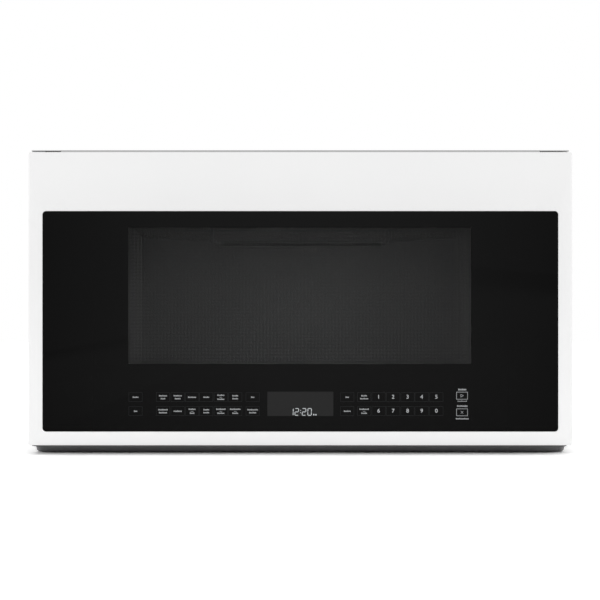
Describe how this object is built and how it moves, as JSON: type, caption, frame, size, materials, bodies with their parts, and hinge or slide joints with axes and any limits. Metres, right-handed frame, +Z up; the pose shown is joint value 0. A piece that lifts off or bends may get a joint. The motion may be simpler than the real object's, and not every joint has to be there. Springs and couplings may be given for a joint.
{
  "type": "over-the-range microwave oven",
  "caption": "Wall-hung microwave and convection oven with a full-width side-hinged glass door, turntable, vent blower and drop-down filters.",
  "frame": {"origin": "middle of the wall plate's back face, at half the cabinet's height and width", "axes": "+Y into the wall, the door faces -Y, +X to the right seen from the front, +Z up"},
  "size_m": [0.759, 0.404, 0.428],
  "materials": {
    "white_enamel": "satin white",
    "light_grey_paint": "satin light grey",
    "charcoal_paint": "satin charcoal",
    "dark_paint": "matt black",
    "cavity_enamel": "grey enamel",
    "black_glass": "polished, printed black behind",
    "clear_glass": "clear",
    "galvanised": "spangled zinc",
    "steel": "bare",
    "aluminium": "satin",
    "copper": "varnished winding",
    "dark_plastic": "fine grain",
    "grey_plastic": "fine grain",
    "white_plastic": "smooth",
    "circuit_board": "solder mask",
    "mica": "flaky sheet",
    "carbon": "granules behind mesh"
  },
  "bodies": {
    "cabinet": {"wall_plate": "galvanised", "rear_panel": "galvanised", "outer_wrap": "light_grey_paint", "base_pan": "charcoal_paint", "front_frame": "light_grey_paint", "vent_grille": "grey_plastic", "charcoal_filter": "carbon", "cord_bushing": "dark_plastic", "cooktop_lamp": "white_plastic", "cavity_shell": "cavity_enamel", "cavity_back": "cavity_enamel", "grill_element": "steel", "cavity_lamp": "white_plastic", "waveguide": "galvanised", "waveguide_cover": "mica", "magnetron": "aluminium", "transformer_core": "steel", "transformer_coil": "copper", "capacitor": "aluminium", "power_board": "circuit_board", "filter_board": "circuit_board", "hinge_upper": "steel", "hinge_lower": "steel", "latch_board": "white_plastic", "switch_primary": "dark_plastic", "switch_secondary": "dark_plastic", "switch_monitor": "dark_plastic", "turntable_motor": "steel", "convection_cover": "cavity_enamel", "convection_housing": "galvanised", "convection_heater": "steel", "convection_motor": "steel", "cooling_fan_frame": "dark_plastic", "blower_housing": "galvanised", "blower_motor": "steel"},
    "door": {"door_frame": "white_enamel", "door_glass": "black_glass", "door_inner_panel": "charcoal_paint", "window_screen": "dark_paint", "inner_window": "clear_glass", "choke_cover": "dark_plastic", "touch_board": "circuit_board", "display_module": "dark_plastic", "handle_cup": "dark_plastic", "latch_spring": "steel"},
    "latch": {"latch_lever": "white_plastic"},
    "coupler": {"turntable_coupler": "white_plastic"},
    "tray": {"glass_tray": "clear_glass"},
    "roller_ring": {"roller_ring": "white_plastic"},
    "roller_1": {"roller_1": "white_plastic"},
    "roller_2": {"roller_2": "white_plastic"},
    "roller_3": {"roller_3": "white_plastic"},
    "blower_rotor": {"blower_shaft": "steel", "blower_wheel_left": "aluminium", "blower_wheel_right": "aluminium"},
    "convection_fan": {"convection_fan": "aluminium"},
    "cooling_fan": {"cooling_fan": "dark_plastic"},
    "grease_filter_left": {"grease_filter_left": "aluminium"},
    "grease_filter_right": {"grease_filter_right": "aluminium"},
    "lamp_lens": {"lamp_lens": "clear_glass"}
  },
  "joints": [
    {"name": "door_hinge", "type": "hinge", "parent": "cabinet", "child": "door", "pos_m": [-0.3725, -0.376, 0.0047], "axis": [0, 0, -1], "range_deg": [0, 110]},
    {"name": "latch_slide", "type": "slide", "parent": "door", "child": "latch", "axis": [0, 0, 1], "range_m": [0, 0.005], "stiffness_N_per_m": 300, "deforming": ["latch_spring"]},
    {"name": "turntable_spin", "type": "hinge", "parent": "cabinet", "child": "coupler", "pos_m": [0, -0.19185, -0.1143], "axis": [0, 0, 1], "continuous": true},
    {"name": "tray_lift", "type": "slide", "parent": "coupler", "child": "tray", "axis": [0, 0, 1], "range_m": [0, 0.1]},
    {"name": "ring_spin", "type": "hinge", "parent": "cabinet", "child": "roller_ring", "pos_m": [0, -0.19185, -0.1143], "axis": [0, 0, 1], "continuous": true},
    {"name": "roller_1_spin", "type": "hinge", "parent": "roller_ring", "child": "roller_1", "pos_m": [0.1, -0.19185, -0.1073], "axis": [1, 0, 0], "continuous": true},
    {"name": "roller_2_spin", "type": "hinge", "parent": "roller_ring", "child": "roller_2", "pos_m": [-0.05, -0.10525, -0.1073], "axis": [-0.5, 0.866, 0], "continuous": true},
    {"name": "roller_3_spin", "type": "hinge", "parent": "roller_ring", "child": "roller_3", "pos_m": [-0.05, -0.27845, -0.1073], "axis": [-0.5, -0.866, 0], "continuous": true},
    {"name": "blower_spin", "type": "hinge", "parent": "cabinet", "child": "blower_rotor", "pos_m": [0, -0.062, 0.16865], "axis": [1, 0, 0], "continuous": true},
    {"name": "convection_fan_spin", "type": "hinge", "parent": "cabinet", "child": "convection_fan", "pos_m": [-0.31, -0.186, 0.014], "axis": [1, 0, 0], "continuous": true},
    {"name": "cooling_fan_spin", "type": "hinge", "parent": "cabinet", "child": "cooling_fan", "pos_m": [0.3176, -0.102, 0.0045], "axis": [0, 1, 0], "continuous": true},
    {"name": "grease_filter_left_drop", "type": "hinge", "parent": "cabinet", "child": "grease_filter_left", "pos_m": [-0.15, -0.126, -0.214], "axis": [1, 0, 0], "range_deg": [0, 50]},
    {"name": "grease_filter_right_drop", "type": "hinge", "parent": "cabinet", "child": "grease_filter_right", "pos_m": [0.15, -0.126, -0.214], "axis": [1, 0, 0], "range_deg": [0, 50]},
    {"name": "lamp_lens_drop", "type": "hinge", "parent": "cabinet", "child": "lamp_lens", "pos_m": [0, -0.278, -0.214], "axis": [1, 0, 0], "range_deg": [0, 80]}
  ],
  "couplings": [
    {"joint": "ring_spin", "follows": "turntable_spin", "ratio": 0.5},
    {"joint": "roller_1_spin", "follows": "turntable_spin", "ratio": -7.4627},
    {"joint": "roller_2_spin", "follows": "turntable_spin", "ratio": -7.4627},
    {"joint": "roller_3_spin", "follows": "turntable_spin", "ratio": -7.4627}
  ]
}
